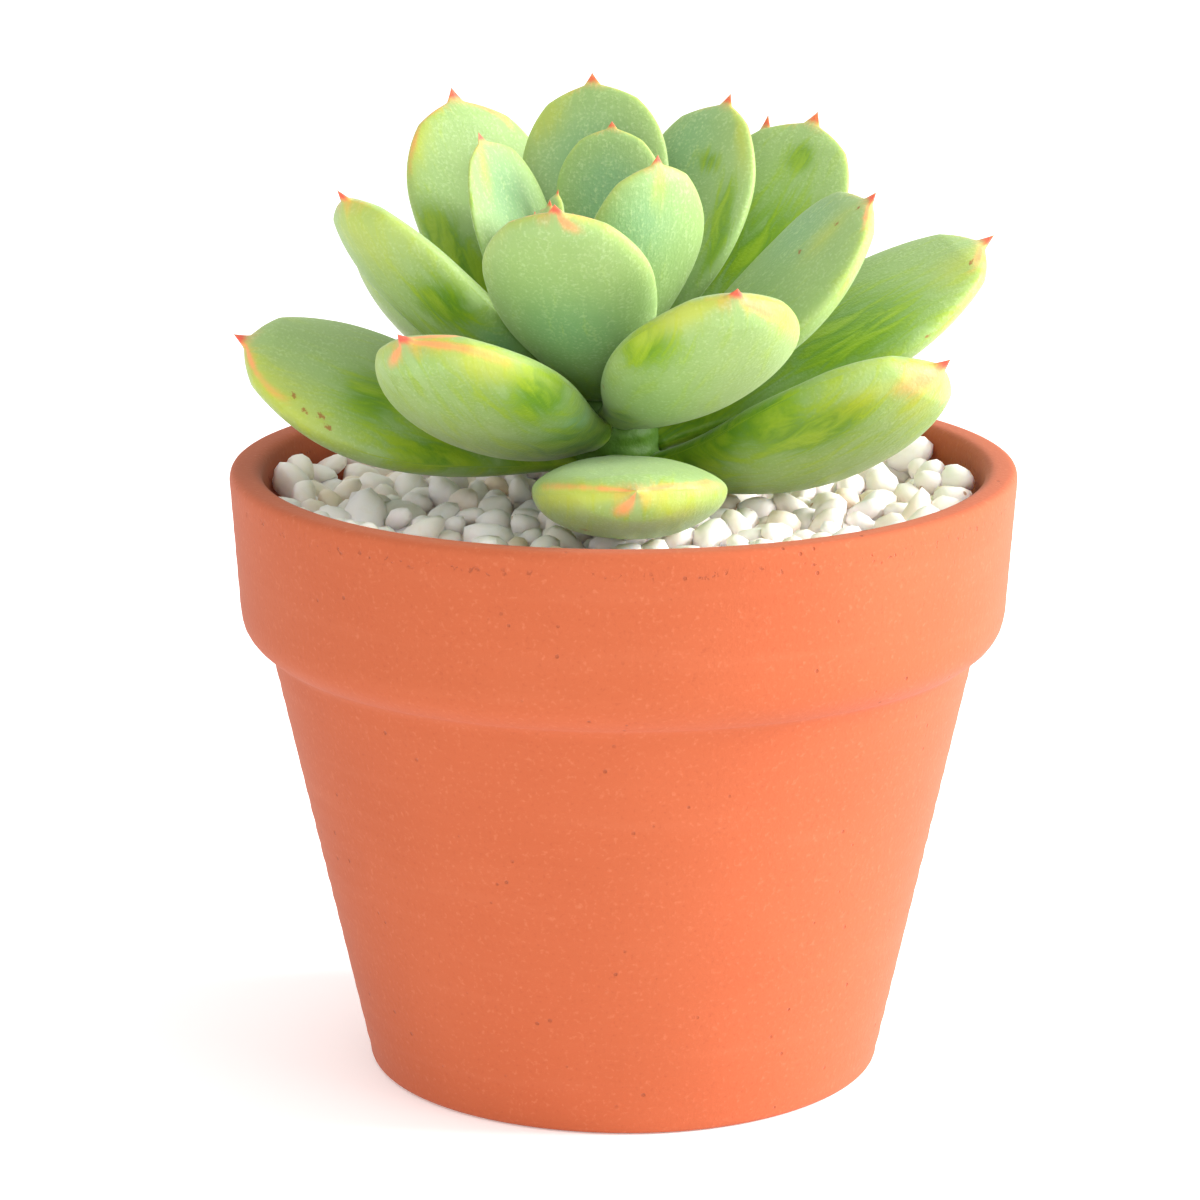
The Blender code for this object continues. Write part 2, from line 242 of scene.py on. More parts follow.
def clay_finish():
    """Orange clay: cloudy base colour, pale grains, dark pits, and a ring of pits under the lip."""
    finish, tree, shader, where = new_finish("terracotta")
    clouds = noise(tree, where, 28.0, 4.0)
    color = mixed(tree, clouds, paint(170, 79, 42), paint(184, 92, 54))
    flattened = add_node(tree, "ShaderNodeMapping", {"Vector": where, "Scale": (1, 1, 9)}).outputs[0]
    streaks = noise(tree, flattened, 30.0)
    color = mixed(tree, soft_step(tree, streaks, 0.5, 0.8, 0.10), color, paint(198, 114, 80))
    grains = noise(tree, where, 1500.0, 2.0)
    color = mixed(tree, soft_step(tree, grains, 0.55, 0.8, 0.30), color, paint(204, 124, 88))
    color = mixed(tree, soft_step(tree, grains, 0.42, 0.2, 0.40), color, paint(160, 72, 40))
    pits = soft_step(tree, cells(tree, where, 420.0), 0.14, 0.07)
    rare = soft_step(tree, noise(tree, where, 130.0, 1.0), 0.52, 0.62)
    pits = calc(tree, "MULTIPLY", pits, rare)
    color = mixed(tree, calc(tree, "MULTIPLY", pits, 0.45), color, paint(128, 56, 32))
    height = add_node(tree, "ShaderNodeSeparateXYZ", {"Vector": where}).outputs["Z"]
    off_ring = calc(tree, "ABSOLUTE", calc(tree, "SUBTRACT", height, PIT_RING_HEIGHT))
    ring = soft_step(tree, off_ring, 0.9 * MM, 0.2 * MM)
    ring_pits = calc(tree, "MULTIPLY", ring, soft_step(tree, noise(tree, where, 1000.0, 2.0), 0.60, 0.70))
    color = mixed(tree, calc(tree, "MULTIPLY", ring_pits, 0.45), color, paint(140, 66, 40))
    tree.links.new(color, shader.inputs["Base Color"])
    shader.inputs["Roughness"].default_value = 0.82
    shader.inputs["Sheen Weight"].default_value = 0.06
    shader.inputs["Sheen Roughness"].default_value = 0.5
    shader.inputs["Specular IOR Level"].default_value = 0.35
    relief = calc(tree, "SUBTRACT", calc(tree, "MULTIPLY", grains, 0.5), calc(tree, "ADD", pits, ring_pits))
    bump(tree, shader, relief, 0.12 * MM)
    return finish


CLAY = clay_finish()
print("finish", CLAY.name)

# %% [markdown]
# ## Pot
# A thrown pot is one profile carried round its axis: lip, straight band, the rounded
# under-edge of the band, a body that tapers to the foot, and the same again inside
# with a drain hole in the floor. A profile of a few points with round corners gives
# it. Thrown clay is never quite true, so the radius also wanders by a tenth or two of
# a millimetre, slowly round the pot and in fine rings up its wall.

# %% Pot
_, pot_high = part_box("pot")
POT_HEIGHT = pot_high.z
RIM_RADIUS = pot_high.x
POT_PROFILE = (
    # radius, height and corner radius in mm, from the inner lip over the rim and down to the hole
    (50.5, 86.0, 1.6),
    (55.0, 86.0, 1.4),
    (53.4, 62.9, 3.4),
    (49.5, 60.7, 0.8),
    (36.0, 0.0, 1.0),
    (6.0, 0.0, 0.5),
    (6.0, 6.0, 0.5),
    (31.6, 6.0, 4.0),
    (44.3, 60.0, 2.5),
    (49.1, 68.5, 2.5),
)


def rounded_outline(corners, arc_points=7, spacing=1.0 * MM):
    """A closed outline: each corner becomes a short curve between the points where it starts and
    ends, a quadratic one with the corner as its handle, and straight runs get evenly spaced points."""
    places = np.array([(r, z) for r, z, _ in corners]) * MM
    cuts = np.array([c for _, _, c in corners]) * MM
    before, after = np.roll(places, 1, 0) - places, np.roll(places, -1, 0) - places
    before /= np.linalg.norm(before, axis=1)[:, None]
    after /= np.linalg.norm(after, axis=1)[:, None]
    t = np.linspace(0, 1, arc_points)[:, None]
    outline = []
    for k in range(len(places)):
        start, end = places[k] + before[k] * cuts[k], places[k] + after[k] * cuts[k]
        outline.append((1 - t) ** 2 * start + 2 * t * (1 - t) * places[k] + t ** 2 * end)
        following = (k + 1) % len(places)
        target = places[following] + before[following] * cuts[following]
        steps = max(int(np.linalg.norm(target - end) / spacing), 1)
        outline.append(end + (target - end) * np.linspace(0, 1, steps + 1)[1:-1, None])
    return np.concatenate(outline)


def make_pot(segments=320):
    """The outline carried round Z: x = r sin a, y = -r cos a, with r moved by slow waves and fine rings."""
    outline = rounded_outline(POT_PROFILE)
    turn = np.linspace(0, 2 * np.pi, segments, endpoint=False)[None, :]
    radius, height = outline[:, :1], outline[:, 1:]
    slow = 0.10 * np.sin(2 * turn + 0.7 + 20 * height) + 0.06 * np.sin(5 * turn + 55 * height)
    rings = 0.035 * np.sin(height / MM * 1.9 + 0.6 * np.sin(turn))
    rings = rings + 0.02 * np.sin(height / MM * 4.3 + 2 * turn)
    wander = np.clip(slow + rings, -0.2, 0.2) * MM * np.clip(radius / (20 * MM), 0, 1)
    radius = np.minimum(radius + wander, RIM_RADIUS)
    points = np.stack([radius * np.sin(turn), -radius * np.cos(turn), height + 0 * turn], -1)
    faces = ring_faces(len(outline), segments, wrap=True)
    return add_piece("clay_pot", points.reshape(-1, 3), faces, None, CLAY, ["pot"])


pot = make_pot()
print("pot", len(pot.data.polygons), "faces, height in mm", round(POT_HEIGHT / MM, 1))

# %% [markdown]
# ## Potting mix
# The soil is out of sight under the gravel, but the drain hole shows a little of it.
# Its solid is already right, so it only gets a finish: dark peat with paler crumbs.

# %% Finish: potting mix
def soil_finish():
    """Dark peat, with brown crumbs where cells are near their points and a coarse relief."""
    finish, tree, shader, where = new_finish("potting_mix")
    crumbs = cells(tree, where, 380.0)
    dust = noise(tree, where, 900.0, 5.0)
    color = mixed(tree, dust, paint(38, 27, 20), paint(84, 62, 46))
    color = mixed(tree, soft_step(tree, crumbs, 0.35, 0.15, 0.7), color, paint(120, 92, 66))
    tree.links.new(color, shader.inputs["Base Color"])
    shader.inputs["Roughness"].default_value = 0.95
    bump(tree, shader, calc(tree, "SUBTRACT", dust, crumbs), 0.6 * MM)
    return finish


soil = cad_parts["soil"]
soil.data.materials.clear()
soil.data.materials.append(soil_finish())
print("finish on", soil.name)

# %% [markdown]
# ## White gravel
# The top dressing is tumbled quartz: rounded stones 4 to 8 mm long, white to cream, a
# little translucent, some with a tan fleck. Each stone is a ball whose directions are
# cut back by a dozen random planes and rounded between them. They have to lie as if
# poured, so each one is dropped where it comes to rest lowest among a few places.

# %% Finish: gravel
def gravel_finish():
    """White stone whose tint each pebble carries: grey-white, cream or tan, with soft inner light."""
    finish, tree, shader, where = new_finish("white_gravel")
    tint = attribute(tree, "tint")
    color = mixed(tree, tint, paint(255, 246, 247), paint(255, 240, 232))
    color = mixed(tree, soft_step(tree, tint, 0.86, 0.97, 0.6), color, paint(236, 214, 184))
    veins = noise(tree, where, 420.0, 3.0, 0.6, 1.5)
    color = mixed(tree, soft_step(tree, veins, 0.5, 0.75, 0.22), color, paint(232, 218, 200))
    flecks = soft_step(tree, cells(tree, where, 210.0), 0.10, 0.05)
    color = mixed(tree, calc(tree, "MULTIPLY", flecks, 0.8), color, paint(170, 120, 70))
    tree.links.new(color, shader.inputs["Base Color"])
    shader.inputs["Roughness"].default_value = 0.5
    shader.inputs["Subsurface Weight"].default_value = 0.6
    shader.inputs["Subsurface Radius"].default_value = (1.0, 0.85, 0.7)
    shader.inputs["Subsurface Scale"].default_value = 1.6 * MM
    bump(tree, shader, noise(tree, where, 900.0, 3.0), 0.06 * MM)
    return finish


GRAVEL = gravel_finish()
print("finish", GRAVEL.name)

# %% [markdown]
# A stone is seen at the size of a grain of rice, and there are hundreds. So each has
# only a few dozen faces: a cube's sides cut in squares and blown up to a ball, which
# has no crowded poles, then pushed in by its planes.

# %% Pebble shapes
def cube_ball(cuts=3):
    """Directions on a ball and their quads: each side of a cube in cuts x cuts squares, blown up."""
    steps = np.linspace(-1, 1, cuts + 1)
    u, v = (grid.ravel() for grid in np.meshgrid(steps, steps, indexing="ij"))
    side = np.stack([u, v, np.ones_like(u)], -1)
    turns = [np.roll(side, k, 1) for k in range(3)]
    points = np.concatenate(turns + [-t for t in turns])
    corner = np.arange((cuts + 1) ** 2).reshape(cuts + 1, cuts + 1)
    quad = np.stack([corner[:-1, :-1], corner[1:, :-1], corner[1:, 1:], corner[:-1, 1:]], -1).reshape(-1, 4)
    quads = np.concatenate([quad + k * len(side) for k in range(6)])
    _, first, same = np.unique(np.round(points, 5), axis=0, return_index=True, return_inverse=True)
    points, quads = points[first], same.reshape(-1)[quads]
    middle = points[quads].mean(1)
    normal = np.cross(points[quads[:, 1]] - points[quads[:, 0]], points[quads[:, 2]] - points[quads[:, 0]])
    inward = np.einsum("ij,ij->i", middle, normal) < 0
    quads[inward] = quads[inward][:, ::-1]
    return points / np.linalg.norm(points, axis=1)[:, None], quads


def unit_rows(rng, *shape):
    """Random directions, evenly spread."""
    rows = rng.normal(size=(*shape, 3))
    return rows / np.linalg.norm(rows, axis=-1, keepdims=True)


PEBBLE_STRETCH = ((1.0, 1.3), (0.8, 1.0), (0.62, 0.85))


def pebble_forms(count, directions, rng, planes=11, hardness=9.0):
    """Points of each pebble before it is placed, at unit size.

    Along a direction the surface is where a soft maximum of its shares towards all
    the planes reaches 1: the sum of (share / plane distance) to the power hardness.
    """
    normals = unit_rows(rng, count, planes)
    distance = rng.uniform(0.72, 1.05, (count, 1, planes))
    share = np.maximum(np.einsum("dk,cpk->cdp", directions, normals), 0.0) / distance
    reach = ((share ** hardness).sum(-1) + 0.35) ** (-1.0 / hardness)
    forms = directions[None] * reach[..., None]
    stretch = [rng.uniform(*limits, count) for limits in PEBBLE_STRETCH]
    forms = forms * np.stack(stretch, -1)[:, None, :]
    spin = rng.uniform(0, 2 * np.pi, count)
    tilt = rng.normal(0, 0.45, (count, 2))
    cos, sin = np.cos(spin), np.sin(spin)
    x = forms[..., 0] * cos[:, None] - forms[..., 1] * sin[:, None]
    y = forms[..., 0] * sin[:, None] + forms[..., 1] * cos[:, None]
    z = forms[..., 2] + x * tilt[:, :1] + y * tilt[:, 1:]
    return np.stack([x - forms[..., 2] * tilt[:, :1], y - forms[..., 2] * tilt[:, 1:], z], -1)


ball, ball_quads = cube_ball()
print("one pebble has", len(ball_quads), "faces")

# %% [markdown]
# Pouring needs no physics engine. A stone tries a few places, takes the one where it
# would lie lowest, and is left out if it would stand above the level of the pour.

# %% Pour the gravel
gravel_low, gravel_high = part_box("gravel")
BED_TOP = gravel_high.z - 4.8 * MM
BED_RADIUS = gravel_high.x - 0.3 * MM
STEM_CLEARANCE = 6.0 * MM
STONES = 760
STONE_RADII = [1.9, 2.3, 2.7, 3.1, 3.5]
STONE_SHARES = [0.14, 0.26, 0.3, 0.2, 0.1]


def resting_height(spots, radius, laid):
    """Height of a ball's middle over each spot: on the bed, or on the highest ball under it."""
    gap = spots[:, None, :] - laid[None, :, :2]
    reach = (radius + laid[:, 3]) * 0.9
    rise = np.sqrt(np.maximum(reach ** 2 - (gap ** 2).sum(-1), 0.0))
    on_stones = np.where(rise > 0, laid[:, 2] + rise * 0.8, 0.0).max(1, initial=0.0)
    return np.maximum(on_stones, BED_TOP + 0.8 * radius)


def top_limit(spots):
    """The pour is level, and rises by 1.7 mm where it leans on the pot's wall."""
    out = np.linalg.norm(spots, axis=1)
    return gravel_high.z + 1.3 * MM + 1.7 * MM * np.clip((out - 40 * MM) / (7 * MM), 0, 1)


def pour(rng, tries=14):
    """Middle and radius of each stone, laid one after another at the lowest of a few tried spots."""
    laid = np.zeros((0, 4))
    for _ in range(STONES):
        radius = rng.choice(STONE_RADII, p=STONE_SHARES) * MM
        span = BED_RADIUS - radius * 0.85
        out = np.sqrt(rng.uniform(STEM_CLEARANCE ** 2, span ** 2, tries))
        turn = rng.uniform(0, 2 * np.pi, tries)
        spots = np.stack([out * np.sin(turn), -out * np.cos(turn)], -1)
        height = resting_height(spots, radius, laid)
        over = height + 0.75 * radius > top_limit(spots)
        best = np.argmin(height + over)
        if not over[best]:
            laid = np.concatenate([laid, [[*spots[best], height[best], radius]]])
    return laid


def make_gravel():
    """All stones as one mesh, each form scaled and moved to where it was laid."""
    rng = np.random.default_rng(17)
    laid = pour(rng)
    forms = pebble_forms(len(laid), ball, rng)
    points = laid[:, None, :3] + forms * laid[:, None, 3:]
    quads = (ball_quads[None] + np.arange(len(laid))[:, None, None] * len(ball)).reshape(-1, 4)
    tint = np.repeat(rng.uniform(0, 1, len(laid)), len(ball))
    return add_piece(
        "gravel_stones", points.reshape(-1, 3), quads, None, GRAVEL,
        ["gravel"], {"tint": tint},
    )


stones = make_gravel()
print("gravel", len(stones.data.polygons) // len(ball_quads), "stones")

# %% [markdown]
# Under the loose stones the dressing goes on down to the soil. One closed ring stands
# for that part: its top is lumpy like the stones, and sits just below them, so that
# the gaps end in shadow and not in a hole.

# %% Gravel bed
def make_bed(rings=26, segments=160):
    """A ring with a lumpy top: height is the bed's, plus waves of 4 mm across both ways."""
    low = gravel_low.z
    inner, outer = STEM_CLEARANCE, BED_RADIUS - 0.6 * MM
    turn = np.linspace(0, 2 * np.pi, segments, endpoint=False)[None, :]
    radius = np.linspace(inner, outer, rings)[:, None]
    x, y = radius * np.sin(turn), -radius * np.cos(turn)
    lumps = np.sin(x / MM * 1.5 + 1.3 * np.sin(y / MM * 0.9)) * np.sin(y / MM * 1.6)
    top = np.stack([x, y, BED_TOP + 0.5 * MM * lumps], -1)
    round_once = np.stack([np.sin(turn[0]), -np.cos(turn[0])], -1)
    base = [np.concatenate([r * round_once, np.full((segments, 1), low)], 1) for r in (outer, inner)]
    points = np.concatenate([top.reshape(-1, 3), *base])
    faces = ring_faces(rings + 2, segments, wrap=True)
    tint = np.full(len(points), 0.7)
    return add_piece("gravel_bed", points, faces, None, GRAVEL, (), {"tint": tint})


bed = make_bed()
print("bed", len(bed.data.polygons), "faces")

# %% [markdown]
# ## Leaf flesh
# A leaf of this plant is pale green under a powdery bloom that rubs off. Where it has
# rubbed off, the skin is glossy and a stronger green. The margins and the point are
# yellower, the very tip is red, and old leaves blush orange where the sun reached
# them. These follow each leaf's own form, so the mesh carries them as values on its
# points, and the finish breaks them up with noise so that no edge is a clean line.
# That noise is stretched along the leaf, because rubbing leaves lengthwise strokes.

# %% Finish: leaf
def leaf_finish():
    """Bloom over green skin, yellow margins, orange blush, red tip, brown scars and a fine grain."""
    finish, tree, shader, where = new_finish("leaf_flesh")
    rubbed, warm, blush, tip = (attribute(tree, name) for name in ("rubbed", "warm", "blush", "tip"))
    blue, scar = attribute(tree, "blue"), attribute(tree, "scar")
    across, lengthwise = attribute(tree, "across"), attribute(tree, "lengthwise")
    skin_place = add_node(tree, "ShaderNodeCombineXYZ", {"X": across, "Y": lengthwise}).outputs[0]
    clouds = noise(tree, where, 110.0, 4.0, 0.6)
    streaks = noise(tree, skin_place, 1.0, 4.0, 0.6, 0.8)
    grain = noise(tree, where, 2200.0, 2.0)
    wax = calc(tree, "ADD", calc(tree, "MULTIPLY", grain, 0.6), calc(tree, "MULTIPLY", streaks, 0.4))
    rough_edge = calc(tree, "MULTIPLY_ADD", calc(tree, "SUBTRACT", streaks, 0.5), 1.7, rubbed)
    bare = soft_step(tree, rough_edge, 0.15, 0.85)
    bloom = mixed(tree, clouds, paint(136, 166, 98), paint(156, 182, 112))
    bloom = mixed(tree, soft_step(tree, blue, 0.0, 1.0, 0.85), bloom, paint(122, 166, 120))
    bloom = mixed(tree, soft_step(tree, wax, 0.48, 0.68, 0.5), bloom, paint(186, 208, 154))
    skin = mixed(tree, soft_step(tree, streaks, 0.3, 0.7), paint(84, 132, 0), paint(142, 172, 20))
    color = mixed(tree, calc(tree, "MULTIPLY", bare, 0.92), bloom, skin)
    warm_edge = calc(tree, "MULTIPLY_ADD", calc(tree, "SUBTRACT", streaks, 0.5), 0.6, warm)
    color = mixed(tree, soft_step(tree, warm_edge, 0.05, 1.15, 0.65), color, paint(184, 188, 50))
    blush_edge = calc(tree, "MULTIPLY_ADD", calc(tree, "SUBTRACT", streaks, 0.5), 0.7, blush)
    color = mixed(tree, soft_step(tree, blush_edge, 0.2, 0.95, 0.85), color, paint(232, 146, 92))
    tip_edge = calc(tree, "MULTIPLY_ADD", calc(tree, "SUBTRACT", streaks, 0.5), 0.35, tip)
    color = mixed(tree, soft_step(tree, tip_edge, 0.3, 0.85, 0.9), color, paint(214, 66, 60))
    scar_edge = calc(tree, "MULTIPLY_ADD", calc(tree, "SUBTRACT", grain, 0.5), 0.9, scar)
    color = mixed(tree, soft_step(tree, scar_edge, 0.5, 0.75, 0.85), color, paint(146, 92, 34))
    tree.links.new(color, shader.inputs["Base Color"])
    tree.links.new(calc(tree, "MULTIPLY_ADD", bare, -0.22, 0.56), shader.inputs["Roughness"])
    shader.inputs["Subsurface Weight"].default_value = 0.22
    shader.inputs["Subsurface Radius"].default_value = (0.8, 1.0, 0.35)
    shader.inputs["Subsurface Scale"].default_value = 2.5 * MM
    shader.inputs["Sheen Weight"].default_value = 0.10
    shader.inputs["Sheen Roughness"].default_value = 0.45
    shader.inputs["Specular IOR Level"].default_value = 0.4
    relief = calc(tree, "ADD", calc(tree, "MULTIPLY", grain, 0.45), calc(tree, "MULTIPLY", streaks, 0.55))
    bump(tree, shader, relief, 0.16 * MM)
    return finish


LEAF = leaf_finish()
print("finish", LEAF.name)

# %% [markdown]
# ## Leaf form
# The outline of a leaf swells from a narrow neck, rounds over at a shoulder and ends
# in a short point. Its section is two half ellipses, a shallow one above and a deep
# one below. Its middle line climbs from the stem and curls up. These are formulas of
# the place along the leaf, so one function makes any leaf from eleven numbers.

# %% Leaf shape
WIDEST, NECK_WIDTH = 0.61, 0.30
THICKEST, NECK_DEPTH = 0.45, 0.42
UPPER_SHARE = 0.42
MARGIN_LIFT = 0.05
LEAN_START, LEAN = 80.0 * MM, -1.0 / 6.0


def relative_width(along):
    """Half width over its greatest: a sine up to the widest place, then a rounded shoulder and a point."""
    rise = NECK_WIDTH + (1 - NECK_WIDTH) * np.sin(np.clip(along / WIDEST, 0, 1) * np.pi / 2) ** 1.5
    inward = np.clip((along - WIDEST) / (0.955 - WIDEST), 0, 1)
    shoulder = (1 - inward ** 2.4) ** 0.62
    point = 0.28 * np.clip((1 - along) / 0.10, 0, 1) ** 1.15 * np.clip(along / 0.15 - 5, 0, 1)
    return np.where(along < WIDEST, rise, np.hypot(shoulder, point))


def relative_thickness(along):
    """Thickness over its greatest, made as the width is."""
    rise = NECK_DEPTH + (1 - NECK_DEPTH) * np.sin(np.clip(along / THICKEST, 0, 1) * np.pi / 2) ** 1.4
    inward = np.clip((along - THICKEST) / (0.96 - THICKEST), 0, 1)
    shoulder = (1 - inward ** 2.4) ** 0.56
    point = 0.32 * np.clip((1 - along) / 0.10, 0, 1) * np.clip(along / 0.15 - 5, 0, 1)
    return np.where(along < THICKEST, rise, np.hypot(shoulder, point))


def axis_at(height):
    """A point of the stem's axis: upright in the soil, leaning to the left above the gravel."""
    return np.array([LEAN * max(height - LEAN_START, 0.0), 0.0, height])


def columns_at(along, steps, rows):
    """Each column of rows, read at the places along."""
    return np.stack([np.interp(along, steps, rows[:, k]) for k in range(rows.shape[1])], -1)


def midrib(leaf, along):
    """Middle line of a leaf, and its left and up directions there.

    The climb is the rise plus the curl times place to the 1.3, the sway grows evenly,
    and the line is the running sum of the forward directions.
    """
    steps = np.linspace(0, 1, 41)
    climb = np.radians(leaf["rise"] + leaf["curl"] * steps ** 1.3)
    sway = np.radians(leaf["sway"]) * steps
    forward = np.stack([np.cos(climb) * np.cos(sway), np.cos(climb) * np.sin(sway), np.sin(climb)], -1)
    walked = np.cumsum((forward[1:] + forward[:-1]) / 2, 0) * leaf["length"] / 40
    line = columns_at(along, steps, np.concatenate([np.zeros((1, 3)), walked]))
    forward = columns_at(along, steps, forward)
    forward /= np.linalg.norm(forward, axis=1)[:, None]
    bend = np.interp(along, steps, sway)
    flat_left = np.stack([-np.sin(bend), np.cos(bend), np.zeros(len(along))], -1)
    flat_up = np.cross(forward, flat_left)
    turn, roll = np.radians(leaf["turn"]), np.radians(leaf["roll"])
    out = np.array([np.sin(turn), -np.cos(turn), 0.0])
    axes = np.stack([out, np.cross([0.0, 0.0, 1.0], out), [0.0, 0.0, 1.0]])
    start = axis_at(leaf["height"]) + out * leaf["reach"]
    left = (flat_left * np.cos(roll) - flat_up * np.sin(roll)) @ axes
    up = (flat_left * np.sin(roll) + flat_up * np.cos(roll)) @ axes
    return start + line @ axes, left, up


def leaf_surface(leaf, along, angle):
    """Points on a leaf: the middle line, plus left times the half width and cosine of the angle,
    plus up times the half ellipses' sine, a lifted margin and a slow unevenness of the flesh."""
    line, left, up = midrib(leaf, along)
    half = relative_width(along)[:, None] * leaf["width"] / 2
    depth = relative_thickness(along)[:, None] * leaf["thickness"]
    cosine, sine = np.cos(angle)[None, :], np.sin(angle)[None, :]
    above = UPPER_SHARE * np.maximum(sine, 0) - (1 - UPPER_SHARE) * np.maximum(-sine, 0)
    seed = leaf["turn"]
    place = along[:, None]
    uneven = np.sin(9 * place + 2 * cosine + seed) * np.cos(5 * place - 3 * cosine + 2 * seed)
    lift = above * depth * (1 + 0.035 * uneven) + MARGIN_LIFT * cosine ** 2 * half
    aside = (cosine + leaf["skew"] * place ** 3) * half * (1 + 0.012 * np.sin(14 * place + seed))
    return line[:, None, :] + left[:, None, :] * aside[..., None] + up[:, None, :] * lift[..., None]


print("leaf is widest at", WIDEST, "of its length")

# %% [markdown]
# ## The spiral
# Leaves come off the stem one after another, each a golden angle (137.5 degrees)
# further round than the last, the oldest lowest. So a handful of laws over the leaf's
# number gives its height, rise, length and so on, and a short list says how single
# leaves have been pushed aside by their neighbours.

# %% Laws and habits of the leaves
LEAF_COUNT = 32
FIRST_TURN, GOLDEN_ANGLE = 6.0, 137.5
LAWS = {
    # the leaf's number, then the value there, in mm or degrees
    "height": ((0, 17, 22, 27, 31), (86.0, 101.5, 104.5, 106.5, 108.5)),
    "reach": ((0, 16, 20, 24, 27, 31), (4.8, 4.8, 4.4, 3.2, 2.4, 1.0)),
    "rise": ((0, 5, 10, 15, 20, 31), (4.0, 14.0, 31.0, 50.0, 66.0, 86.0)),
    "curl": ((0, 10, 18, 31), (20.0, 24.0, 20.0, 8.0)),
    "length": ((0, 9, 13, 17, 18, 21, 25, 31), (49.0, 50.0, 47.0, 39.0, 25.0, 20.0, 14.0, 8.0)),
    "width": ((0, 8, 13, 17, 18, 22, 24, 31), (26.0, 25.0, 24.0, 20.0, 12.0, 13.5, 8.0, 4.0)),
    "thickness": ((0, 6, 12, 17, 22, 31), (9.2, 9.0, 7.5, 5.5, 4.0, 1.8)),
    "roll": ((0, 31), (0.0, 0.0)),
    "sway": ((0, 31), (0.0, 0.0)),
    "skew": ((0, 31), (0.0, 0.0)),
}
LENGTHS = ("height", "reach", "length", "width", "thickness")
HABITS = {
    0: dict(turn=-3, height=0.5, rise=-3, curl=-2, thickness=1.5),
    1: dict(turn=-3.5, height=-1, rise=6, roll=8),
    2: dict(turn=-3, rise=3, length=2, width=1, thickness=0.5, roll=26, sway=-4),
    3: dict(turn=13, height=-3.5, curl=10, length=-1, width=-1.5, thickness=1, roll=30, sway=-8, skew=-0.2),
    4: dict(turn=-6, height=-1.5, rise=-8, roll=12),
    5: dict(turn=-5, height=0.5, curl=4, thickness=1.5, roll=-12, sway=-6, skew=0.2),
    6: dict(turn=-11, height=-2, rise=6, curl=-11, length=7, roll=-16, sway=3),
    7: dict(turn=-22.5, rise=-11, curl=6, width=-3.5, thickness=-1.5, roll=-24),
    8: dict(turn=-2.5, height=0.5, rise=-4, width=-1, thickness=0.5, roll=3, sway=-6, skew=0.2),
    9: dict(turn=-31, height=1, rise=7, length=1.5, width=0.5, thickness=-3, roll=-14),
    10: dict(turn=-7, height=-1, rise=7, curl=-12, length=-1, width=-2.5, thickness=0.5, roll=-8, sway=3),
    11: dict(turn=-1.5, rise=-6, curl=6, length=-4, width=0.5, roll=-24, sway=6, skew=0.25),
    12: dict(turn=2, height=-1.5, rise=-4, curl=12, length=4, width=1, sway=-5, skew=-0.1),
    13: dict(turn=-3, height=-1, rise=-5, curl=-10, width=-0.8, thickness=-0.5, sway=1),
    14: dict(turn=11, height=0.5, length=-2, width=-2, thickness=-1, sway=-4, skew=0.3),
    15: dict(
        turn=-26.5, height=-1, rise=11, curl=-10, length=-7.5,
        width=-2.5, thickness=-3.3, roll=4, sway=3, skew=-0.25,
    ),
    16: dict(turn=-21.5, curl=6, length=-6, width=-2, thickness=-1, roll=-10, sway=-1, skew=-0.1),
    17: dict(turn=-4, rise=-6, curl=6, length=2, width=2.5, thickness=-0.5, roll=24, sway=8),
    18: dict(turn=9, height=-2, rise=-8, curl=24, length=2, width=-1, thickness=-0.5, roll=10),
    20: dict(turn=2, height=2.5, curl=-8, length=-6, width=-4, thickness=-2.5, sway=-4),
    21: dict(turn=2, rise=-2, width=-1, thickness=-0.5),
    22: dict(turn=11, height=2.5, rise=-5, curl=10, length=8, width=1.5, thickness=-0.5, roll=-4, sway=8),
    23: dict(height=1, rise=4, curl=8, length=2, width=-2, thickness=-0.5, roll=6),
    24: dict(rise=-3, length=2, width=-1.5, thickness=-0.5, roll=8),
    25: dict(turn=7, height=1, width=-3.5, thickness=-1),
    26: dict(height=-1, rise=-4, curl=-4, width=-4, thickness=-0.5, roll=4),
    27: dict(rise=-4, width=-1.5, thickness=-0.5),
    28: dict(turn=-5, height=-2.5, rise=-2, curl=-4, length=-3, width=-4, thickness=-0.5, roll=6),
    29: dict(turn=2, rise=-4, width=-1.5),
    31: dict(rise=-2, width=-0.5, thickness=-0.3),
}
EXTRA_LEAF = dict(
    turn=147, height=91.5, reach=4.8, rise=23, curl=42, length=58,
    width=18, thickness=7, roll=12, sway=10, skew=0,
)
TIERS = (("outer_leaf", 0), ("middle_leaf", 8), ("inner_leaf", 13), ("crown_leaf", 18))


def leaf_values(step):
    """Turn, size and lean of the leaf at this step of the spiral, in degrees and metres."""
    leaf = {name: float(np.interp(step, *law)) for name, law in LAWS.items()}
    leaf["turn"] = (FIRST_TURN + step * GOLDEN_ANGLE + 180.0) % 360.0 - 180.0
    for name, change in HABITS.get(step, {}).items():
        leaf[name] += change
    return in_metres(leaf)


def in_metres(leaf):
    """The same leaf with its lengths in metres."""
    return {name: value * MM if name in LENGTHS else value for name, value in leaf.items()}


def all_leaves():
    """Node name and values of every leaf, tier by tier; the leaf out of turn closes the middle tier."""
    ends = [first for _, first in TIERS[1:]] + [LEAF_COUNT]
    leaves = {}
    for (tier, first), end in zip(TIERS, ends):
        for step in range(first, end):
            leaves[f"{tier}_{step - first + 1:02d}"] = leaf_values(step)
        if tier == "middle_leaf":
            leaves[f"{tier}_{end - first + 1:02d}"] = in_metres(EXTRA_LEAF)
    return leaves


leaves = all_leaves()
print(len(leaves), "leaves")

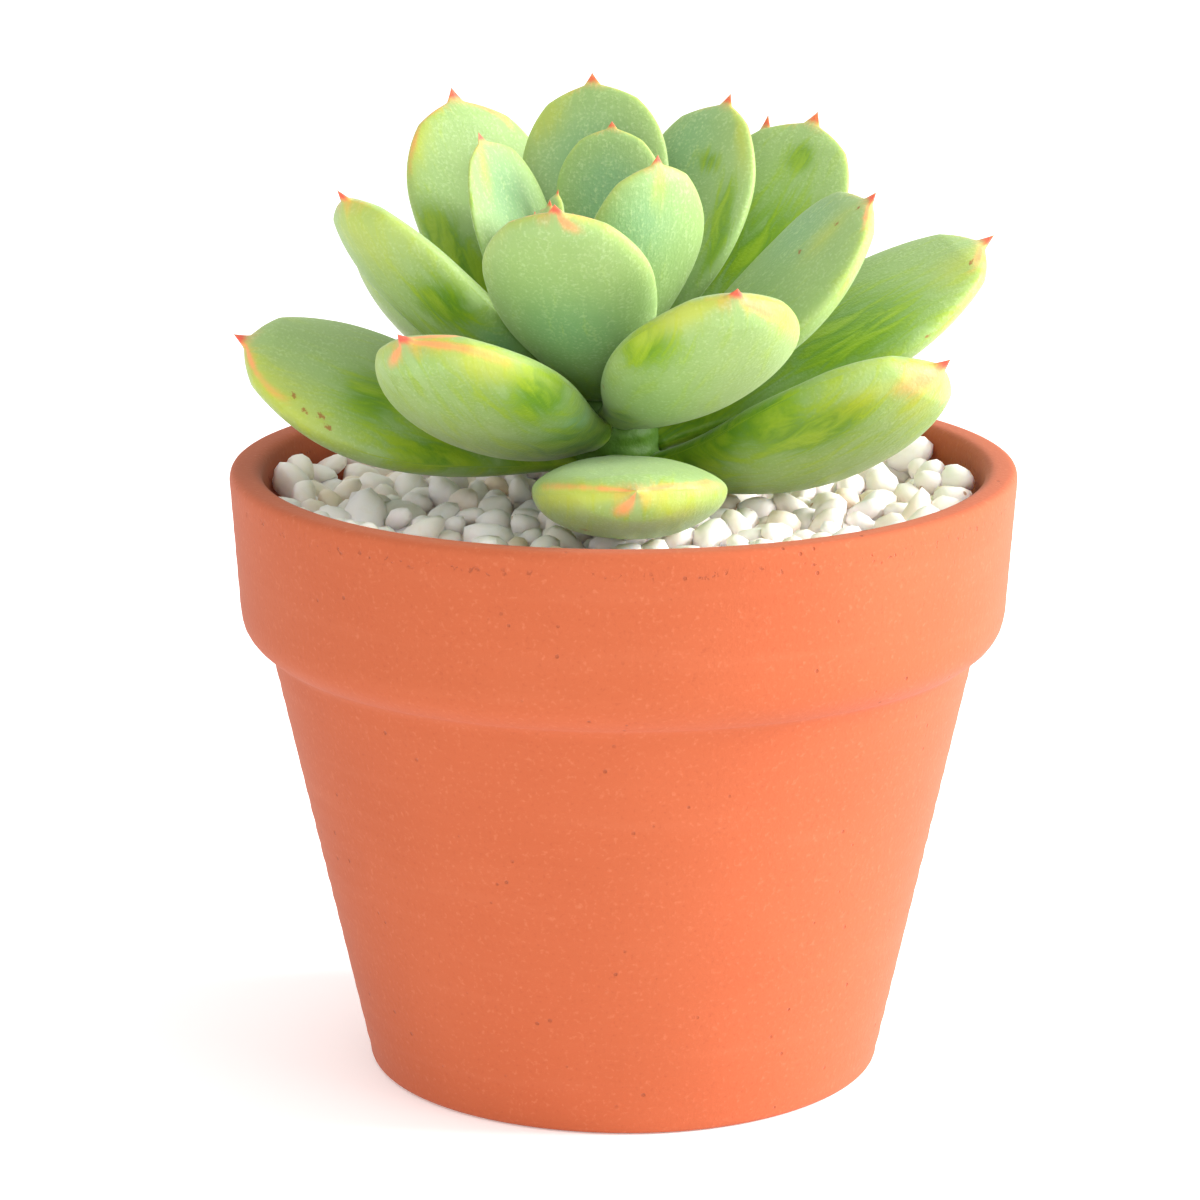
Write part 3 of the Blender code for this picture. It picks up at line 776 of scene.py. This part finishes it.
# %% [markdown]
# ## Marks on the leaves
# Each leaf has its own story: where a finger rubbed the bloom off, where the sun
# turned it orange, where it was bruised. A mark is a soft spot of one of a few sizes.
# It sits a share of the way along the leaf, at an angle round it: 0 is the left margin
# seen from the stem, 90 the upper side, 180 the right margin and 270 the underside.

# %% Marks
LEFT, UPPER, RIGHT, UNDER = 0, 90, 180, 270
SIZES = {
    # half sizes: share of the leaf's length, degrees round it
    "dot": (0.018, 7),
    "spot": (0.05, 14),
    "stroke": (0.13, 14),
    "patch": (0.10, 28),
    "wash": (0.20, 45),
    "cap": (0.10, 900),
}
WORN = {"outer": 0.4, "middle": 0.25, "inner": 0.05, "crown": 0.0}
STRENGTHS = {"blush": 0.65, "warm": 0.65, "rubbed": 0.8, "blue": 0.7, "scar": 0.8, "tip": -0.8}
MARKS = {
    # leaf, then its marks: kind, size, place along, angle round
    "outer_leaf_01": (
        ("tip", "cap", 1.0, UPPER),
        ("blush", "stroke", 0.85, LEFT + 20),
        ("blush", "stroke", 0.85, RIGHT - 15),
        ("blush", "spot", 0.95, UNDER - 20),
        ("warm", "wash", 0.95, RIGHT),
        ("warm", "patch", 0.9, UNDER + 45),
        ("scar", "dot", 0.75, UNDER - 30),
    ),
    "outer_leaf_03": (
        ("blush", "stroke", 0.9, LEFT + 20),
        ("warm", "wash", 0.85, LEFT + 30),
        ("scar", "dot", 0.8, LEFT + 35),
        ("scar", "dot", 0.76, LEFT + 25),
        ("scar", "dot", 0.72, LEFT + 30),
        ("scar", "dot", 0.69, LEFT + 20),
        ("rubbed", "patch", 0.6, UPPER - 20),
        ("rubbed", "patch", 0.4, LEFT + 20),
    ),
    "outer_leaf_04": (
        ("blush", "patch", 0.93, UNDER - 30),
        ("blush", "spot", 0.92, UNDER + 35),
        ("warm", "stroke", 0.8, UNDER - 45),
        ("warm", "patch", 0.87, UNDER),
        ("rubbed", "patch", 0.3, RIGHT),
        ("rubbed", "patch", 0.5, RIGHT + 15),
        ("rubbed", "stroke", 0.65, UNDER - 40),
    ),
    "outer_leaf_06": (
        ("blush", "spot", 0.95, UNDER - 40),
        ("blush", "stroke", 0.93, LEFT + 45),
        ("blush", "stroke", 0.9, LEFT - 10),
        ("warm", "patch", 0.85, LEFT - 30),
        ("rubbed", "patch", 0.65, LEFT - 20),
        ("rubbed", "patch", 0.35, UNDER + 30),
        ("blue", "patch", 0.4, LEFT - 20),
    ),
    "outer_leaf_07": (
        ("scar", "dot", 0.9, UPPER + 40),
        ("scar", "dot", 0.7, RIGHT),
        ("blush", "spot", 0.92, UPPER + 50),
        ("warm", "patch", 0.87, UPPER + 30),
        ("rubbed", "wash", 0.55, UPPER + 25),
    ),
    "middle_leaf_01": (
        ("blush", "spot", 0.96, UNDER + 50),
        ("blush", "spot", 0.93, UNDER + 55),
        ("warm", "patch", 0.9, LEFT - 25),
        ("warm", "patch", 0.9, RIGHT + 20),
        ("rubbed", "patch", 0.75, RIGHT + 20),
        ("rubbed", "spot", 0.3, UNDER - 40),
        ("scar", "dot", 0.4, RIGHT + 10),
    ),
    "middle_leaf_02": (
        ("rubbed", "spot", 0.85, UPPER + 10),
        ("rubbed", "wash", 0.55, UPPER + 20),
    ),
    "middle_leaf_03": (
        ("warm", "wash", 0.9, UNDER + 20),
        ("rubbed", "patch", 0.6, UNDER + 50),
        ("rubbed", "patch", 0.5, UNDER - 30),
        ("blue", "patch", 0.4, LEFT - 25),
    ),
    "middle_leaf_04": (
        ("scar", "dot", 0.93, UPPER + 20),
        ("scar", "dot", 0.85, UPPER + 10),
        ("scar", "dot", 0.7, UPPER),
        ("blush", "spot", 0.94, RIGHT - 25),
        ("warm", "stroke", 0.8, UPPER + 10),
        ("blue", "wash", 0.75, UPPER - 35),
    ),
    "middle_leaf_05": (
        ("blush", "stroke", 0.85, LEFT + 10),
        ("blush", "spot", 0.9, UPPER + 50),
        ("warm", "patch", 0.85, LEFT + 20),
        ("rubbed", "patch", 0.55, LEFT + 30),
        ("rubbed", "patch", 0.4, LEFT + 30),
    ),
    "inner_leaf_01": (
        ("blush", "dot", 0.9, RIGHT - 10),
        ("blush", "dot", 0.93, RIGHT - 25),
        ("blush", "dot", 0.92, LEFT + 25),
        ("blush", "dot", 0.87, LEFT + 15),
        ("blush", "spot", 0.96, UNDER + 30),
        ("blue", "wash", 0.5, UNDER),
    ),
    "inner_leaf_02": (
        ("rubbed", "spot", 0.75, UPPER + 15),
        ("rubbed", "stroke", 0.6, UPPER + 45),
        ("rubbed", "stroke", 0.45, UPPER + 60),
        ("warm", "stroke", 0.85, UPPER + 55),
        ("blue", "wash", 0.8, UPPER - 20),
    ),
    "inner_leaf_03": (
        ("rubbed", "spot", 0.75, LEFT + 15),
        ("rubbed", "spot", 0.6, LEFT - 15),
        ("warm", "stroke", 0.85, LEFT + 60),
        ("blue", "wash", 0.75, UPPER),
    ),
    "inner_leaf_04": (
        ("warm", "stroke", 0.9, UNDER),
        ("blue", "wash", 0.75, UNDER - 20),
    ),
    "inner_leaf_05": (
        ("warm", "patch", 0.85, LEFT + 40),
        ("blue", "wash", 0.7, UPPER),
    ),
    "crown_leaf_05": (("blue", "wash", 0.7, UPPER), ("blue", "wash", 0.4, UPPER)),
}


def spot(along, angle, size, place, round_place):
    """A soft spot: e to the minus squared distance, counted in the spot's own half sizes."""
    length, width = SIZES[size]
    off = (np.degrees(angle)[None, :] - round_place + 180.0) % 360.0 - 180.0
    return np.exp(-(((along[:, None] - place) / length) ** 2) - (off / width) ** 2)


def leaf_marks(name, along, angle):
    """The values that the leaf finish reads, on every point of a leaf's grid.

    Margins and tip follow the place on the leaf. Older tiers are more worn. The last two
    values run across and along the leaf, so that the finish can stretch its strokes lengthwise.
    """
    margin = np.abs(np.cos(angle))[None, :] ** 6
    place = along[:, None]
    everywhere = np.zeros((len(along), len(angle)))
    far = np.clip((place - 0.35) / 0.6, 0, 1)
    upper = np.clip(np.sin(angle), 0, 1)[None, :]
    worn = WORN[name.split("_")[0]]
    marks = {
        "warm": 0.6 * margin * far + 0.2 * np.clip((place - 0.8) / 0.18, 0, 1) ** 1.5,
        "tip": everywhere + np.clip((place - 0.945) / 0.04, 0, 1),
        "blush": everywhere + 0.5 * np.clip((place - 0.9) / 0.06, 0, 1),
        "rubbed": 0.6 * np.clip((0.34 - place) / 0.2, 0, 1) + worn * (1 - 0.6 * upper),
        "blue": 0.7 * np.clip(0.8 - place, 0, 1) * (0.4 + 0.6 * upper),
        "scar": everywhere,
    }
    for kind, *values in MARKS.get(name, ()):
        marks[kind] = marks[kind] + STRENGTHS[kind] * spot(along, angle, *values)
    marks = {kind: np.clip(values, 0, 1.2) for kind, values in marks.items()}
    marks["across"] = 7.0 * np.cos(angle)[None, :] * relative_width(along)[:, None]
    marks["across"] = marks["across"] + 3.0 * (np.sin(angle)[None, :] > 0)
    marks["lengthwise"] = everywhere + 6.0 * place
    return marks


print(sum(len(spots) for spots in MARKS.values()), "marks")

# %% [markdown]
# Each leaf is now made from its values and its marks. Long leaves get a finer grid than
# the small ones in the crown, which are seen from further off for their size.

# %% Leaves
def pole_to_pole(rows):
    """Values on a grid whose first and last rings shrink to one point each, as one list."""
    return np.concatenate([rows[:1, 0], rows[1:-1].reshape(-1), rows[-1:, 0]])


def make_leaf(name, leaf):
    """A closed grid from base to tip; its rings crowd towards the tip, where the form turns fastest."""
    big = leaf["length"] > 30 * MM
    rings, segments = (88, 72) if big else (48, 40)
    along = 1 - (1 - np.linspace(0, 1, rings + 2)) ** 1.5
    angle = np.linspace(0, 2 * np.pi, segments, endpoint=False)
    grid = leaf_surface(leaf, along, angle)
    marks = leaf_marks(name, along, angle)
    centre = grid.mean(1)
    points = np.concatenate([centre[:1], grid[1:-1].reshape(-1, 3), centre[-1:]])
    quads, triangles = closed_faces(rings, segments)
    marks = {kind: pole_to_pole(values) for kind, values in marks.items()}
    return add_piece(f"{name}_flesh", points, quads, triangles, LEAF, [name], marks)


rosette = [make_leaf(name, leaf) for name, leaf in leaves.items()]
print("rosette", len(rosette), "leaves,", sum(len(leaf.data.polygons) for leaf in rosette), "faces")

# %% [markdown]
# ## Stem
# The stem is a short green stalk, mostly hidden by the leaf necks, and brown where it
# goes into the soil. A tube along the leaning axis makes it, thickest among the leaves,
# where their feet make it plump. Its radius ripples with height and round it, which
# gives the knobbly look of a stem that has shed leaves.

# %% Stem
STEM_HEIGHTS = np.array([59.0, 62.0, 68.0, 74.0, 81.0, 92.0, 98.0, 102.0, 104.0]) * MM
STEM_RADII = np.array([1.2, 2.6, 4.0, 4.6, 6.4, 7.0, 4.6, 2.0, 1.0]) * MM


def stem_finish():
    """Green above the gravel and corky brown below it, with a fine grain."""
    finish, tree, shader, where = new_finish("stem")
    height = add_node(tree, "ShaderNodeSeparateXYZ", {"Vector": where}).outputs["Z"]
    grain = noise(tree, where, 700.0, 4.0)
    green = mixed(tree, grain, paint(54, 96, 8), paint(88, 130, 26))
    brown = mixed(tree, grain, paint(92, 66, 44), paint(140, 110, 78))
    color = mixed(tree, soft_step(tree, height, 80.0 * MM, 86.0 * MM), brown, green)
    tree.links.new(color, shader.inputs["Base Color"])
    shader.inputs["Roughness"].default_value = 0.6
    bump(tree, shader, grain, 0.25 * MM)
    return finish


def make_stem(rings=90, segments=48):
    """Rings round the leaning axis, with the radius read from the stem's heights and rippled."""
    height = np.linspace(STEM_HEIGHTS[0], STEM_HEIGHTS[-1], rings + 2)
    radius = np.interp(height, STEM_HEIGHTS, STEM_RADII)
    angle = np.linspace(0, 2 * np.pi, segments, endpoint=False)
    ripple = 1 + 0.03 * np.sin(height / MM * 2.4)[:, None] * np.cos(3 * angle)[None, :]
    axis = np.stack([LEAN * np.maximum(height - LEAN_START, 0), 0 * height, height], -1)
    ring = np.stack([np.cos(angle), np.sin(angle), 0 * angle], -1)
    grid = axis[:, None, :] + ring[None] * (radius[:, None] * ripple)[..., None]
    points = np.concatenate([axis[:1], grid[1:-1].reshape(-1, 3), axis[-1:]])
    quads, triangles = closed_faces(rings, segments)
    return add_piece("green_stem", points, quads, triangles, stem_finish(), ["stem_and_root"])


stem = make_stem()
print("stem", len(stem.data.polygons), "faces")

# %% [markdown]
# ## Floor and light
# The pot stands on a plain white floor that runs out of sight and glows faintly, as a
# lit backdrop does. A white room all round fills every shadow. Three soft panels shape
# it: a strong one on the right makes that side brighter and lays a faint shadow on the
# left, a weak one high at the front right rounds the leaves, and a low one at the
# front reaches their undersides.

# %% Floor, light and view
def floor_finish():
    """White paper, a shade uneven, with a faint even glow."""
    finish, tree, shader, where = new_finish("floor")
    shade = noise(tree, where, 6.0, 2.0)
    color = mixed(tree, shade, paint(251, 251, 251), paint(254, 254, 254))
    tree.links.new(color, shader.inputs["Base Color"])
    shader.inputs["Roughness"].default_value = 0.9
    shader.inputs["Emission Color"].default_value = (1.0, 1.0, 1.0, 1.0)
    shader.inputs["Emission Strength"].default_value = 0.2
    return finish


def make_floor(half=6.0):
    """One square at the foot of the pot."""
    mesh = bpy.data.meshes.new("floor")
    corners = [(-half, -half, 0.0), (half, -half, 0.0), (half, half, 0.0), (-half, half, 0.0)]
    mesh.from_pydata(corners, [], [(0, 1, 2, 3)])
    mesh.materials.append(floor_finish())
    made = bpy.data.objects.new("floor", mesh)
    bpy.context.scene.collection.objects.link(made)


def add_panel(name, place, aim, size, power):
    """A square area light that faces its aim."""
    light = bpy.data.lights.new(name, "AREA")
    light.size = size
    light.energy = power
    panel = bpy.data.objects.new(name, light)
    panel.location = place
    away = panel.location - type(panel.location)(aim)
    panel.rotation_euler = away.to_track_quat("Z", "Y").to_euler()
    bpy.context.scene.collection.objects.link(panel)


def make_room(strength):
    """An even white surround."""
    world = bpy.data.worlds.new("room")
    world.use_nodes = True
    world.node_tree.nodes["Background"].inputs["Color"].default_value = (1.0, 1.0, 1.0, 1.0)
    world.node_tree.nodes["Background"].inputs["Strength"].default_value = strength
    bpy.context.scene.world = world


make_floor()
make_room(1.0)
add_panel("key", (0.8, -0.7, 1.1), (0.0, 0.0, 0.07), 0.6, 3.0)
add_panel("side", (1.1, 0.0, 0.55), (0.0, 0.0, 0.06), 0.6, 25.0)
add_panel("fill", (-0.1, -1.3, 0.12), (0.0, 0.0, 0.09), 0.5, 5.0)
bpy.context.scene.view_settings.view_transform = "Standard"
print("floor, room and three panels ready")
